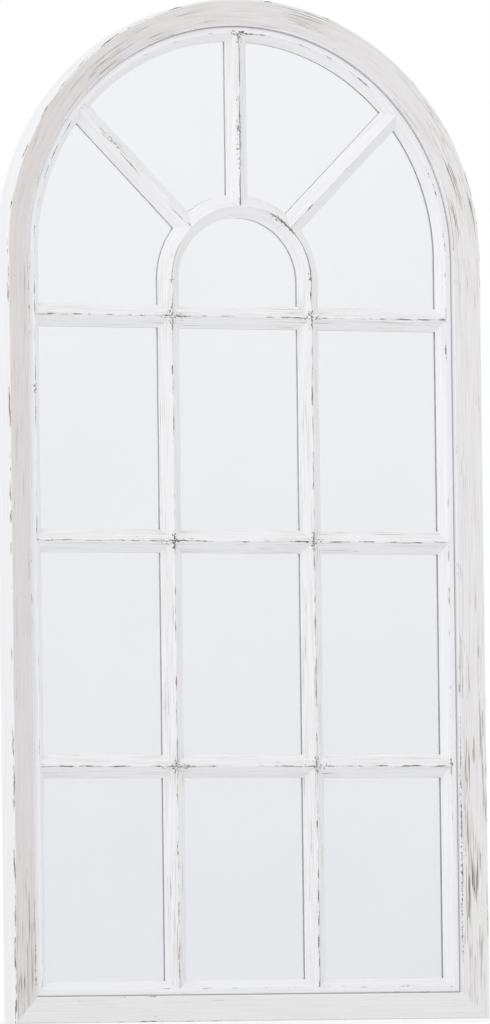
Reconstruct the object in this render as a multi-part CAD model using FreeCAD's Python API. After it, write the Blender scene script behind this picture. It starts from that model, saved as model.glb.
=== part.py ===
"""Arched window mirror: a moulded wooden frame with a half-round head, an inner sash moulding,
a grid of gabled glazing bars over one sheet of mirror, and its back board, clips and hangers.

Units are millimetres. +Z is up, the front faces -Y and X runs across the mirror. The origin is the
bottom centre of the whole box: z = 0 is the underside of the bottom rail.

Sections are drawn in two sizes: u, the distance inward from the outer edge of the frame, and h, the
height in front of the face of the glass (a negative h lies behind that face).
"""
import FreeCAD
import Part
import math
import os

# ---- overall size -------------------------------------------------------------------------------
FRAME_WIDTH = 650.0          # across the stiles
SPRING_HEIGHT = 975.0        # foot of the frame to the springing of the half-round head

# ---- outer frame section ------------------------------------------------------------------------
FACE_HEIGHT = 30.0           # outer arris, in front of the glass
FACE_INNER_HEIGHT = 17.6     # inner edge of the sloping face
FACE_WIDTH = 33.0            # outer edge to the joint with the sash moulding
ARRIS_RADIUS = 2.0           # rubbed outer arris
FACE_EDGE_RADIUS = 0.8       # rubbed inner edge of the face
BACK_DEPTH = 18.0            # face of the glass to the back of the frame
BACK_ROUND = 8.0             # round-over of the outer back edge
SASH_SEAT = 5.5              # ledge of the frame behind the sash moulding

# ---- sash moulding section ----------------------------------------------------------------------
SASH_WIDTH = 19.0            # joint with the frame to the sight line
BEAD_HEIGHT = 13.0           # ridge of the sash moulding
BEAD_OUTER_HEIGHT = 12.3     # its outer edge, beside the groove
SLOPE_RUN = 10.0             # from the ridge down to the sight line
GROOVE_WIDTH = 1.4           # dark groove between frame and sash
GROOVE_FLOOR = 7.0           # bottom of that groove, in front of the glass
BEAD_RADIUS = 1.6            # rounding of the bead beside the groove
RIDGE_RADIUS = 0.9           # rounding of every worn ridge
FLAT_SAG = 0.5               # a round on a curved piece is cut in flats, at most this far inside it

# ---- glazing bars -------------------------------------------------------------------------------
BAR_WIDTH = 29.5             # across a gabled bar, at the glass
BAR_HEIGHT = 13.4            # to the sharp ridge, before it is rounded
UPRIGHT_SPACING = 192.0      # between the ridges of the two upright bars
INNER_ARCH_DROP = 34.0       # springing of the head to the centre of the small arch
TOP_BAR_DROP = 45.75         # centre of the small arch to the ridge of the highest cross bar
CROSS_BAR_ROWS = ("low", "middle", "high")
SPOKES = ("right", "top", "left")

# ---- glass, film and board ----------------------------------------------------------------------
GLASS_THICKNESS = 4.0
GLASS_CLEARANCE = 1.5        # all round, in the rebate
SILVERING_THICKNESS = 0.4    # silver and paint film on the back of the glass
BOARD_THICKNESS = 5.0

# ---- clips that hold the board ------------------------------------------------------------------
CLIP_WIDTH = 14.0
CLIP_THICKNESS = 1.2
CLIP_TAB = 15.0              # tab screwed to the back of the frame
CLIP_FOOT = 11.0             # tab that bears on the board
CLIP_GAP = 0.2               # riser to the wall of the rebate
CLIP_SCREW_INSET = 9.0       # screw to the wall of the rebate
STILE_CLIPS = 3              # on each stile
LOWEST_CLIP_HEIGHT = 170.0   # lowest clip on a stile, above the foot of the frame
HANGER_CLIP_DROP = 115.0     # axis of the ring to the highest clip on a stile
RAIL_CLIP_OFFSETS = (-150.0, 150.0)
HEAD_CLIP_ANGLES = (22.5, 67.5, 112.5, 157.5)

# ---- screws -------------------------------------------------------------------------------------
ROUND_SIDES = 8              # flats that stand for the round of a screw, its hole or ring wire
SCREW_RADIUS = 1.6
SCREW_LENGTH = 14.0          # under the head
SCREW_HEAD_RADIUS = 3.2
SCREW_HEAD_HEIGHT = 1.8
SCREW_HEAD_CROWN = 0.8       # bevel of the head
SCREW_POINT = 1.1            # bevel of the point
HOLE_CLEARANCE = 0.1         # radial, in the wood
PLATE_CLEARANCE = 0.3        # radial, in the sheet steel
HOLE_EXTRA_DEPTH = 1.0

# ---- hangers ------------------------------------------------------------------------------------
HANGER_DROP = 70.0           # springing of the head to the axis of the ring
HANGER_INSET = 23.0          # middle of the hanger to the outer edge of the stile
PLATE_WIDTH = 14.0
PLATE_LENGTH = 46.0          # eye to the rounded end
PLATE_THICKNESS = 1.0
WIRE_RADIUS = 1.1
EYE_CLEARANCE = 0.05         # radial, wire in its eye
RING_GAP = 0.3               # hanging ring to the plate behind it
RING_HALF_WIDTH = 11.0       # to the middle of the wire
RING_BEND = 2.4              # bend between bar and sides
RING_SIDE = 4.0              # axis to the centre of the round end
RING_BEND_STEPS = 4          # straight lengths that stand for each bend
RING_END_STEPS = 16          # and for the round end
HANGER_SCREW_DROPS = (23.0, 38.0)

# ---- wall bumpers -------------------------------------------------------------------------------
BUMPER_WIDTH = 16.0
BUMPER_THICKNESS = 5.0
BUMPER_HEIGHT = 62.0         # middle of the bumper above the foot of the frame

# ---- worked out from the above ------------------------------------------------------------------
HALF_WIDTH = FRAME_WIDTH / 2
HEAD_RADIUS = HALF_WIDTH
FACE_SLOPE = math.atan2(FACE_HEIGHT - FACE_INNER_HEIGHT, FACE_WIDTH)
ARRIS_HALF_ANGLE = (math.pi / 2 - FACE_SLOPE) / 2
CREST_HEIGHT = FACE_HEIGHT - ARRIS_RADIUS * (1 / math.tan(ARRIS_HALF_ANGLE) - 1)
TOTAL_DEPTH = CREST_HEIGHT + BACK_DEPTH + BUMPER_THICKNESS
GLASS_Y = CREST_HEIGHT - TOTAL_DEPTH / 2
BACK_Y = GLASS_Y + BACK_DEPTH
SIGHT_LINE = FACE_WIDTH + SASH_WIDTH
REBATE_WALL = FACE_WIDTH + SASH_SEAT
BEAD_RIDGE = SIGHT_LINE - SLOPE_RUN
HALF_BAR = BAR_WIDTH / 2
UPRIGHT_X = UPRIGHT_SPACING / 2
INNER_ARCH_RADIUS = UPRIGHT_X
INNER_ARCH_HEIGHT = SPRING_HEIGHT - INNER_ARCH_DROP
HIGHEST_RIDGE = INNER_ARCH_HEIGHT - TOP_BAR_DROP
PANE_HEIGHT = (HIGHEST_RIDGE + HALF_BAR - SIGHT_LINE) / len(CROSS_BAR_ROWS) - BAR_WIDTH
SPOKE_STEP = 180.0 / (len(SPOKES) + 1)
HANGER_HEIGHT = SPRING_HEIGHT - HANGER_DROP
HIGHEST_CLIP_HEIGHT = HANGER_HEIGHT - HANGER_CLIP_DROP
BOARD_BACK = GLASS_THICKNESS + SILVERING_THICKNESS + BOARD_THICKNESS
HEAD_PIECES = ("left_lower", "left_upper", "right_upper", "right_lower")
HEAD_STEP = 180.0 / len(HEAD_PIECES)
COPE_REACH = 1.6             # how far past the ridge a coping tool runs, in slope lengths
PAST = 2.0                   # how far cutting tools run past a surface
UP = FreeCAD.Vector(0, 0, 1)
BACKWARD = FreeCAD.Vector(0, 1, 0)
ACROSS = FreeCAD.Vector(1, 0, 0)


# ---- plane sections -----------------------------------------------------------------------------
def flat_ends(first, centre, last, radius):
    """Ends of the flats that stand for the arc from first to last about a centre."""
    start = first - centre
    end = last - centre
    turn = start.getAngle(end)
    widest = 2 * math.acos(max(1 - FLAT_SAG / radius, 0))
    count = math.ceil(turn / widest)
    ends = []
    for index in range(count + 1):
        part = turn * index / count
        direction = start * math.sin(turn - part) + end * math.sin(part)
        ends.append(centre + direction * (1 / math.sin(turn)))
    return ends


def rounded_outline(corners, in_flats):
    """Closed wire through (u, h, radius) corners, each rounded by a tangent arc or by flats."""
    points = [FreeCAD.Vector(u, -h, 0) for u, h, radius in corners]
    stretches = []
    arcs = []
    for index, (u, h, radius) in enumerate(corners):
        corner = points[index]
        before = (points[index - 1] - corner).normalize()
        after = (points[(index + 1) % len(points)] - corner).normalize()
        if radius == 0:
            stretches.append([corner])
            arcs.append(None)
            continue
        half_angle = before.getAngle(after) / 2
        reach = radius / math.tan(half_angle)
        first = corner + before * reach
        last = corner + after * reach
        centre = corner + (before + after).normalize() * (radius / math.sin(half_angle))
        if in_flats:
            stretches.append(flat_ends(first, centre, last, radius))
            arcs.append(None)
            continue
        middle = centre + (corner - centre).normalize() * radius
        stretches.append([first, last])
        arcs.append(Part.Arc(first, middle, last).toShape())
    edges = []
    for index, arc in enumerate(arcs):
        here = stretches[index]
        if arc is None:
            edges += [Part.LineSegment(a, b).toShape() for a, b in zip(here, here[1:])]
        else:
            edges.append(arc)
        following = stretches[(index + 1) % len(stretches)]
        if here[-1].distanceToPoint(following[0]) > 1e-6:
            edges.append(Part.LineSegment(here[-1], following[0]).toShape())
    return Part.Wire(edges)


def section_face(corners, in_flats=False):
    """Face of a section, drawn with u along +X and h towards -Y, in the plane of the glass face."""
    face = Part.Face(rounded_outline(corners, in_flats))
    face.translate(FreeCAD.Vector(0, GLASS_Y, 0))
    return face


def frame_section(in_flats=False):
    """Outer frame: round-over, outer wall, arris, sloping face, sash seat and rebate wall."""
    return section_face([
        (0, -BACK_DEPTH, BACK_ROUND),
        (0, FACE_HEIGHT, ARRIS_RADIUS),
        (FACE_WIDTH, FACE_INNER_HEIGHT, FACE_EDGE_RADIUS),
        (FACE_WIDTH, 0, 0),
        (REBATE_WALL, 0, 0),
        (REBATE_WALL, -BACK_DEPTH, 0),
    ], in_flats)


def sash_section(in_flats=False):
    """Sash moulding: glue face, groove, bead, worn ridge and the slope down to the glass."""
    return section_face([
        (FACE_WIDTH, 0, 0),
        (FACE_WIDTH, GROOVE_FLOOR, 0),
        (FACE_WIDTH + GROOVE_WIDTH, GROOVE_FLOOR, 0),
        (FACE_WIDTH + GROOVE_WIDTH, BEAD_OUTER_HEIGHT, BEAD_RADIUS),
        (BEAD_RIDGE, BEAD_HEIGHT, RIDGE_RADIUS),
        (SIGHT_LINE, 0, 0),
    ], in_flats)


def bar_section(middle, in_flats=False):
    """Gabled bar whose ridge stands at u = middle."""
    return section_face([
        (middle - HALF_BAR, 0, 0),
        (middle, BAR_HEIGHT, RIDGE_RADIUS),
        (middle + HALF_BAR, 0, 0),
    ], in_flats)


def cope_section(foot, ridge, ridge_height, far):
    """Section of a coping tool: all that lies past the slope from (foot, 0) up to the ridge."""
    run = ridge - foot
    top_u = foot + run * COPE_REACH
    top_h = ridge_height * COPE_REACH
    below_u = foot - run * PAST / ridge_height
    return section_face([
        (below_u, -PAST, 0),
        (top_u, top_h, 0),
        (far, top_h, 0),
        (far, -PAST, 0),
    ])


# ---- placing along the frame --------------------------------------------------------------------
def turned(shape, angle, x, z):
    """Copy of a shape drawn for the left stile, turned about Y by angle and moved to (x, z)."""
    place = FreeCAD.Placement(FreeCAD.Vector(x, 0, z), FreeCAD.Rotation(BACKWARD, angle))
    copy = shape.copy()
    copy.Placement = place.multiply(copy.Placement)
    return copy


def head_place(shape, angle):
    """Copy of a shape drawn for the left stile, carried round the head by angle from the left."""
    turn = math.radians(angle)
    x = -HEAD_RADIUS * math.cos(turn)
    z = SPRING_HEIGHT + HEAD_RADIUS * math.sin(turn)
    return turned(shape, angle, x, z)


def mirrored(shape):
    """The same piece on the other side of the mirror."""
    return shape.mirror(FreeCAD.Vector(0, 0, 0), ACROSS)


def upright_run(section, low, high):
    """Left upright length of a section, between two heights."""
    face = turned(section, 0, -HALF_WIDTH, low)
    return face.extrude(UP * (high - low))


def bottom_run(section):
    """Length of a section along the foot of the frame, from outer edge to outer edge."""
    face = turned(section, -90, HALF_WIDTH, 0)
    return face.extrude(ACROSS * -FRAME_WIDTH)


def head_run(section, start, sweep):
    """Length of a section round the head, from angle start (0 is the left springing)."""
    face = head_place(section, start)
    return face.revolve(FreeCAD.Vector(0, 0, SPRING_HEIGHT), BACKWARD, sweep)


def front_prism(points):
    """Prism through the whole depth over a polygon of (x, z) points in the front view."""
    depth = TOTAL_DEPTH + 2 * PAST
    corners = [FreeCAD.Vector(x, -depth / 2, z) for x, z in points]
    outline = Part.makePolygon(corners + corners[:1])
    return Part.Face(outline).extrude(BACKWARD * depth)


def mitre_side():
    """Region of the left upright pieces: everything on their side of the left mitre."""
    reach = FRAME_WIDTH / 2
    return front_prism([
        (-HALF_WIDTH - PAST, -PAST),
        (-HALF_WIDTH + reach, reach),
        (-HALF_WIDTH + reach, SPRING_HEIGHT + PAST),
        (-HALF_WIDTH - PAST, SPRING_HEIGHT + PAST),
    ])


def mitre_foot():
    """Region of the bottom pieces: everything between the two mitres."""
    reach = FRAME_WIDTH / 2
    return front_prism([
        (-HALF_WIDTH - PAST, -PAST),
        (HALF_WIDTH + PAST, -PAST),
        (0, reach),
    ])


# ---- screws and their holes ---------------------------------------------------------------------
def round_face(radius, first_axis, second_axis, centre):
    """Many-sided face about a centre, in the plane of two axes, with a corner on the first."""
    corners = []
    for index in range(ROUND_SIDES):
        turn = 2 * math.pi * index / ROUND_SIDES
        corners.append(centre + (first_axis * math.cos(turn) + second_axis * math.sin(turn)) * radius)
    return Part.Face(Part.makePolygon(corners + corners[:1]))


def round_bar(radius, from_y, to_y):
    """Many-sided bar along Y between two depths."""
    face = round_face(radius, UP, ACROSS, FreeCAD.Vector(0, from_y, 0))
    return face.extrude(BACKWARD * (to_y - from_y))


def screw():
    """Pan-head wood screw drawn at the origin, its head behind y = 0 and its point at -Y."""
    head = round_bar(SCREW_HEAD_RADIUS, 0, SCREW_HEAD_HEIGHT)
    crown = [edge for edge in head.Edges if edge.BoundBox.YMin > SCREW_HEAD_HEIGHT / 2]
    head = head.makeChamfer(SCREW_HEAD_CROWN, crown)
    shank = round_bar(SCREW_RADIUS, -SCREW_LENGTH, 0)
    point = [edge for edge in shank.Edges if edge.BoundBox.YMax < -SCREW_LENGTH / 2]
    shank = shank.makeChamfer(SCREW_POINT, point)
    return head.fuse(shank)


def screw_hole(radius, depth):
    """Tool for a screw hole, from just behind y = 0 to depth in front of it."""
    return round_bar(radius, -depth, PAST)


def at(shape, x, y, z):
    """Copy of a shape moved by (x, y, z)."""
    copy = shape.copy()
    copy.translate(FreeCAD.Vector(x, y, z))
    return copy


def pilot_hole(seat_y):
    """Blind hole in the wood for a screw whose head bears at seat_y."""
    depth = SCREW_LENGTH + HOLE_EXTRA_DEPTH
    return at(screw_hole(SCREW_RADIUS + HOLE_CLEARANCE, depth), 0, seat_y, 0)


# ---- clip places --------------------------------------------------------------------------------
def clip_tab_places():
    """Every clip as (turn about Y, x, z of the outer edge beside it)."""
    places = []
    for index in range(STILE_CLIPS):
        rise = (HIGHEST_CLIP_HEIGHT - LOWEST_CLIP_HEIGHT) * index / (STILE_CLIPS - 1)
        height = LOWEST_CLIP_HEIGHT + rise
        places.append((0, -HALF_WIDTH, height))
        places.append((180, HALF_WIDTH, height))
    for offset in RAIL_CLIP_OFFSETS:
        places.append((-90, offset, 0))
    for angle in HEAD_CLIP_ANGLES:
        turn = math.radians(angle)
        x = -HEAD_RADIUS * math.cos(turn)
        z = SPRING_HEIGHT + HEAD_RADIUS * math.sin(turn)
        places.append((angle, x, z))
    return places


def clip_screw_u():
    """Distance from the outer edge of the frame to a clip's screw."""
    return REBATE_WALL - CLIP_SCREW_INSET


def clip_holes():
    """Pilot holes of all clips, as one tool."""
    seat = BACK_Y + CLIP_THICKNESS
    hole = at(pilot_hole(seat), clip_screw_u(), 0, 0)
    return Part.makeCompound([turned(hole, *place) for place in clip_tab_places()])


def hanger_holes():
    """Pilot holes of both hangers, as one tool."""
    seat = BACK_Y + PLATE_THICKNESS
    holes = []
    for side in (-1, 1):
        for drop in HANGER_SCREW_DROPS:
            x = side * (HALF_WIDTH - HANGER_INSET)
            holes.append(at(pilot_hole(seat), x, 0, HANGER_HEIGHT - drop))
    return Part.makeCompound(holes)


# ---- wooden frame -------------------------------------------------------------------------------
def outer_frame():
    """Stiles, bottom rail and the four segments of the head, drilled for clips and hangers."""
    section = frame_section()
    head_section = frame_section(in_flats=True)
    left = upright_run(section, 0, SPRING_HEIGHT).common(mitre_side())
    pieces = {
        "left_stile": left,
        "right_stile": mirrored(left),
        "bottom_rail": bottom_run(section).common(mitre_foot()),
    }
    for index, name in enumerate(HEAD_PIECES):
        pieces["head_" + name] = head_run(head_section, index * HEAD_STEP, HEAD_STEP)
    holes = clip_holes().fuse(hanger_holes())
    return {name: piece.cut(holes) for name, piece in pieces.items()}


def sash():
    """The inner moulding: two uprights, a foot and four segments round the head."""
    section = sash_section()
    head_section = sash_section(in_flats=True)
    left = upright_run(section, 0, SPRING_HEIGHT).common(mitre_side())
    pieces = {
        "sash_left": left,
        "sash_right": mirrored(left),
        "sash_bottom": bottom_run(section).common(mitre_foot()),
    }
    for index, name in enumerate(HEAD_PIECES):
        pieces["sash_arch_" + name] = head_run(head_section, index * HEAD_STEP, HEAD_STEP)
    return pieces


# ---- glazing bars -------------------------------------------------------------------------------
def sash_slope():
    """Coping tool of the sash slope, as a section."""
    return cope_section(SIGHT_LINE, BEAD_RIDGE, BEAD_HEIGHT, 0)


def bar_slope(middle, side):
    """Coping tool of one slope of a bar at u = middle, on the side that faces away from far."""
    return cope_section(middle + side * HALF_BAR, middle, BAR_HEIGHT, middle - side * BAR_WIDTH)


def straight_bar(low, high):
    """Upright gabled bar whose ridge stands over x = 0, between two heights."""
    return at(bar_section(0), 0, 0, low).extrude(UP * (high - low))


def upright_bars():
    """Both upright bars, coped over the sash at the foot and butted to the small arch."""
    bar = at(straight_bar(0, INNER_ARCH_HEIGHT), -UPRIGHT_X, 0, 0)
    left = bar.cut(bottom_run(sash_slope()))
    return {"upright_bar_left": left, "upright_bar_right": mirrored(left)}


def row_height(row):
    """Height of the ridge of a cross bar, counted from the lowest row."""
    return SIGHT_LINE + (row + 1) * PANE_HEIGHT + row * BAR_WIDTH + HALF_BAR


def cross_bar(row, from_x, to_x):
    """Level gabled bar of one row between two places across the mirror, before coping."""
    bar = turned(straight_bar(0, to_x - from_x), 90, 0, 0)
    return at(bar, from_x, 0, row_height(row))


def cross_bars():
    """Three short bars per row, each coped over the slopes that it meets."""
    upright_tool_outer = upright_run(bar_slope(HALF_WIDTH - UPRIGHT_X, -1), 0, SPRING_HEIGHT)
    upright_tool_inner = upright_run(bar_slope(HALF_WIDTH - UPRIGHT_X, 1), 0, SPRING_HEIGHT)
    sash_tool = upright_run(sash_slope(), 0, SPRING_HEIGHT)
    pieces = {}
    for row, name in enumerate(CROSS_BAR_ROWS):
        left = cross_bar(row, -HALF_WIDTH, -UPRIGHT_X)
        left = left.cut(sash_tool).cut(upright_tool_outer)
        middle = cross_bar(row, -UPRIGHT_X, UPRIGHT_X)
        middle = middle.cut(upright_tool_inner).cut(mirrored(upright_tool_inner))
        pieces["cross_bar_%s_left" % name] = left
        pieces["cross_bar_%s_middle" % name] = middle
        pieces["cross_bar_%s_right" % name] = mirrored(left)
    return pieces


def small_arch_turn(section):
    """Section at the left foot of the small arch, turned half round its centre."""
    face = at(section, 0, 0, INNER_ARCH_HEIGHT)
    return face.revolve(FreeCAD.Vector(0, 0, INNER_ARCH_HEIGHT), BACKWARD, 180)


def inner_arch():
    """Half-round gabled bar on top of the two upright bars."""
    return small_arch_turn(bar_section(-INNER_ARCH_RADIUS, in_flats=True))


def spokes():
    """Gabled spokes from the small arch to the sash of the head, coped at both ends."""
    inner_tool = small_arch_turn(bar_slope(-INNER_ARCH_RADIUS, -1))
    outer_tool = head_run(sash_slope(), 0, 180)
    pieces = {}
    for index, name in enumerate(SPOKES):
        angle = SPOKE_STEP * (index + 1)
        bar = straight_bar(INNER_ARCH_RADIUS, HALF_WIDTH + HEAD_RADIUS)
        bar = turned(bar, 90 - angle, 0, INNER_ARCH_HEIGHT)
        bar = bar.common(head_disc())
        pieces["spoke_" + name] = bar.cut(inner_tool).cut(outer_tool)
    return pieces


def head_disc():
    """Disc as large as the outside of the head, to trim what runs past it."""
    base = FreeCAD.Vector(0, -TOTAL_DEPTH, SPRING_HEIGHT)
    return Part.makeCylinder(HEAD_RADIUS - PAST, 2 * TOTAL_DEPTH, base, BACKWARD)


# ---- glass and board ----------------------------------------------------------------------------
def arched_sheet(front, thickness):
    """Arched sheet that fits the rebate with clearance, its face at depth front behind the glass face."""
    inset = REBATE_WALL + GLASS_CLEARANCE
    half = HALF_WIDTH - inset
    y = GLASS_Y + front
    low_left = FreeCAD.Vector(-half, y, inset)
    low_right = FreeCAD.Vector(half, y, inset)
    high_right = FreeCAD.Vector(half, y, SPRING_HEIGHT)
    high_left = FreeCAD.Vector(-half, y, SPRING_HEIGHT)
    crown = FreeCAD.Vector(0, y, SPRING_HEIGHT + half)
    edges = [
        Part.LineSegment(low_left, low_right).toShape(),
        Part.LineSegment(low_right, high_right).toShape(),
        Part.Arc(high_right, crown, high_left).toShape(),
        Part.LineSegment(high_left, low_left).toShape(),
    ]
    return Part.Face(Part.Wire(edges)).extrude(BACKWARD * thickness)


def sheets():
    """Glass, the film on its back and the board behind it."""
    return {
        "mirror_glass": arched_sheet(0, GLASS_THICKNESS),
        "mirror_silvering": arched_sheet(GLASS_THICKNESS, SILVERING_THICKNESS),
        "back_board": arched_sheet(GLASS_THICKNESS + SILVERING_THICKNESS, BOARD_THICKNESS),
    }


# ---- clips --------------------------------------------------------------------------------------
def clip():
    """Cranked steel clip drawn for the left stile: tab on the frame, riser, foot on the board."""
    wall = REBATE_WALL + CLIP_GAP
    outer = BACK_DEPTH + CLIP_THICKNESS
    foot_back = BOARD_BACK + CLIP_THICKNESS
    outline = [
        (REBATE_WALL - CLIP_TAB, -BACK_DEPTH),
        (REBATE_WALL - CLIP_TAB, -outer),
        (wall + CLIP_THICKNESS, -outer),
        (wall + CLIP_THICKNESS, -foot_back),
        (wall + CLIP_FOOT, -foot_back),
        (wall + CLIP_FOOT, -BOARD_BACK),
        (wall, -BOARD_BACK),
        (wall, -BACK_DEPTH),
    ]
    face = section_face([(u, h, 0) for u, h in outline])
    face.translate(UP * (-CLIP_WIDTH / 2))
    body = face.extrude(UP * CLIP_WIDTH)
    hole = screw_hole(SCREW_RADIUS + PLATE_CLEARANCE, CLIP_THICKNESS + PAST)
    return body.cut(at(hole, clip_screw_u(), BACK_Y + CLIP_THICKNESS, 0))


def clips():
    """All clips in one node and all their screws in another."""
    one_clip = clip()
    one_screw = at(screw(), clip_screw_u(), BACK_Y + CLIP_THICKNESS, 0)
    return {
        "back_clips": Part.makeCompound([turned(one_clip, *place) for place in clip_tab_places()]),
        "clip_screws": Part.makeCompound([turned(one_screw, *place) for place in clip_tab_places()]),
    }


# ---- hangers ------------------------------------------------------------------------------------
def eye_axis_y():
    """Distance of the eye's axis along Y, so that the hanging wire clears the plate."""
    return BACK_Y + PLATE_THICKNESS + RING_GAP + WIRE_RADIUS


def hanger_plate():
    """Strap with a rolled eye at its top, a round end and two screw holes, over x = 0, z = 0."""
    bore = WIRE_RADIUS + EYE_CLEARANCE
    half = PLATE_WIDTH / 2
    corner = FreeCAD.Vector(-half, BACK_Y, half - PLATE_LENGTH)
    strap = Part.makeBox(PLATE_WIDTH, PLATE_THICKNESS, PLATE_LENGTH - half, corner)
    end = Part.makeCylinder(half, PLATE_THICKNESS, FreeCAD.Vector(0, BACK_Y, half - PLATE_LENGTH),
                            BACKWARD)
    centre = FreeCAD.Vector(-half, eye_axis_y(), 0)
    eye = Part.makeCylinder(bore + PLATE_THICKNESS, PLATE_WIDTH, centre, ACROSS)
    plate = strap.fuse([end, eye]).removeSplitter()
    plate = plate.cut(Part.makeCylinder(bore, PLATE_WIDTH, centre, ACROSS))
    hole = screw_hole(SCREW_RADIUS + PLATE_CLEARANCE, PLATE_THICKNESS + PAST)
    for drop in HANGER_SCREW_DROPS:
        plate = plate.cut(at(hole, 0, BACK_Y + PLATE_THICKNESS, -drop))
    return plate


def ring_stations():
    """Places along the ring wire, from the right end of its bar round to the left end.

    Each is a place in the plane of the ring and the direction that points away from its centre.
    """
    bar_half = RING_HALF_WIDTH - RING_BEND
    turns = [
        (bar_half, -RING_BEND, RING_BEND, 90, -90, RING_BEND_STEPS),
        (0, -RING_SIDE, RING_HALF_WIDTH, 0, -180, RING_END_STEPS),
        (-bar_half, -RING_BEND, RING_BEND, 180, -90, RING_BEND_STEPS),
    ]
    stations = []
    for centre_x, centre_z, radius, start, sweep, steps in turns:
        for index in range(steps + 1):
            angle = math.radians(start + sweep * index / steps)
            outward = FreeCAD.Vector(math.cos(angle), 0, math.sin(angle))
            stations.append((FreeCAD.Vector(centre_x, 0, centre_z) + outward * radius, outward))
    return stations


def hanger_ring():
    """D-shaped wire ring that hangs from its axis at the origin: bar, bends, sides and round end."""
    stations = ring_stations()
    faces = [round_face(WIRE_RADIUS, BACKWARD, outward, place) for place, outward in stations]
    bow = Part.makeLoft([face.OuterWire for face in faces], True, True)
    bar = faces[-1].extrude(stations[0][0] - stations[-1][0])
    return bow.fuse(bar)


def hangers():
    """Plate, ring and screws on the back of each stile."""
    one_screw = at(screw(), 0, BACK_Y + PLATE_THICKNESS, 0)
    pieces = {}
    for name, side in (("left", -1), ("right", 1)):
        x = side * (HALF_WIDTH - HANGER_INSET)
        screws = [at(one_screw, x, 0, HANGER_HEIGHT - drop) for drop in HANGER_SCREW_DROPS]
        pieces["hanger_plate_" + name] = at(hanger_plate(), x, 0, HANGER_HEIGHT)
        pieces["hanger_ring_" + name] = at(hanger_ring(), x, eye_axis_y(), HANGER_HEIGHT)
        pieces["hanger_screws_" + name] = Part.makeCompound(screws)
    return pieces


def wall_bumpers():
    """Felt pads at the foot of the stiles that hold the frame as far off the wall as its rings."""
    pieces = {}
    half = BUMPER_WIDTH / 2
    for name, side in (("left", -1), ("right", 1)):
        x = side * (HALF_WIDTH - HANGER_INSET)
        corner = FreeCAD.Vector(x - half, BACK_Y, BUMPER_HEIGHT - half)
        pad = Part.makeBox(BUMPER_WIDTH, BUMPER_THICKNESS, BUMPER_WIDTH, corner)
        pieces["wall_bumper_" + name] = pad
    return pieces


# ---- the whole mirror ---------------------------------------------------------------------------
def build():
    """Every piece of the mirror by name."""
    pieces = {}
    for group in (outer_frame, sash, upright_bars, cross_bars, spokes, sheets, clips, hangers,
                  wall_bumpers):
        pieces.update(group())
    pieces["inner_arch"] = inner_arch()
    return pieces


os.makedirs("parts", exist_ok=True)
for node, shape in build().items():
    solids = shape.Solids
    kept = solids[0] if len(solids) == 1 else Part.makeCompound(solids)
    box = kept.BoundBox
    print("%-26s %d solid(s) %s  x %.1f..%.1f  y %.1f..%.1f  z %.1f..%.1f  volume %.0f" % (
        node, len(solids), "valid" if kept.isValid() else "NOT VALID", box.XMin, box.XMax,
        box.YMin, box.YMax, box.ZMin, box.ZMax, kept.Volume))
    kept.exportStep("parts/%s.step" % node)
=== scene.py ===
"""Looks of an arched window mirror: chalk-painted, rubbed-through wood over silvered glass.

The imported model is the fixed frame. This script dresses its wooden pieces, glass, board and steel,
and models the small hardware on the back (clips, straps, rings, screws and felt pads) in full.

Lengths in the finishes and classes are in millimetres, and become metres where a mesh is made.
"""

import logging
import math
from dataclasses import dataclass
from enum import Enum, IntEnum

import bpy
from mathutils import Matrix, Vector

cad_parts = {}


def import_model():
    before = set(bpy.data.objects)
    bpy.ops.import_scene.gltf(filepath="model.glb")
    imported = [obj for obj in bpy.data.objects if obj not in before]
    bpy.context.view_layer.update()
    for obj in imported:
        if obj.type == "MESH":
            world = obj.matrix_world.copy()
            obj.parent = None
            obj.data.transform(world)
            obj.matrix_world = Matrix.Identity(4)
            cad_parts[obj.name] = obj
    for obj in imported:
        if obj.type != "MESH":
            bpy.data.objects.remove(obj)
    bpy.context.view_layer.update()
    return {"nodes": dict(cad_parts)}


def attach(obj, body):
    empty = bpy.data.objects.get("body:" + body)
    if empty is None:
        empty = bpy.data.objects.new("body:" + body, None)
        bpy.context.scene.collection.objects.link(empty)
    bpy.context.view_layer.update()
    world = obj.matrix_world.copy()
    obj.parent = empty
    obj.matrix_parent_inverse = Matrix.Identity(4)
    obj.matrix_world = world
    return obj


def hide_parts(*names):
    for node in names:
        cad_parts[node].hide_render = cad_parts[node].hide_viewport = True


log = logging.getLogger("window_mirror")

MM = 0.001
WELD = 0.01     # points nearer than this are one, mm
Socket = bpy.types.NodeSocket
Tree = bpy.types.NodeTree
Point = tuple[float, float, float]
Colour = tuple[float, float, float, float]


# ---- nodes and colours ----
def linear(hex_colour: str) -> Colour:
    """Turn an sRGB hex colour into linear RGBA.

    Args:
        hex_colour: colour as "#RRGGBB".

    Returns:
        Linear red, green, blue and an alpha of 1.
    """
    channels = []
    for start in (1, 3, 5):
        value = int(hex_colour[start:start + 2], 16) / 255
        channels.append(value / 12.92 if value <= 0.04045 else ((value + 0.055) / 1.055) ** 2.4)
    return (channels[0], channels[1], channels[2], 1.0)


def add(tree: Tree, kind: str, inputs: dict | None = None, out: int | str = 0,
        **settings) -> Socket | None:
    """Add a node with its settings and links.

    Args:
        tree: node tree that gets the node.
        kind: Blender's name of the node type, without "ShaderNode".
        inputs: by socket name or number, a socket to link or a plain value.
        out: name or number of the output that is wanted.
        **settings: properties of the node.

    Returns:
        The wanted output, whose node is its .node, or nothing from an output node.
    """
    node = tree.nodes.new("ShaderNode" + kind)
    for name, value in settings.items():
        setattr(node, name, value)
    for key, value in (inputs or {}).items():
        if isinstance(value, bpy.types.NodeSocket):
            tree.links.new(value, node.inputs[key])
        else:
            node.inputs[key].default_value = value
    return node.outputs[out] if len(node.outputs) else None


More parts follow.
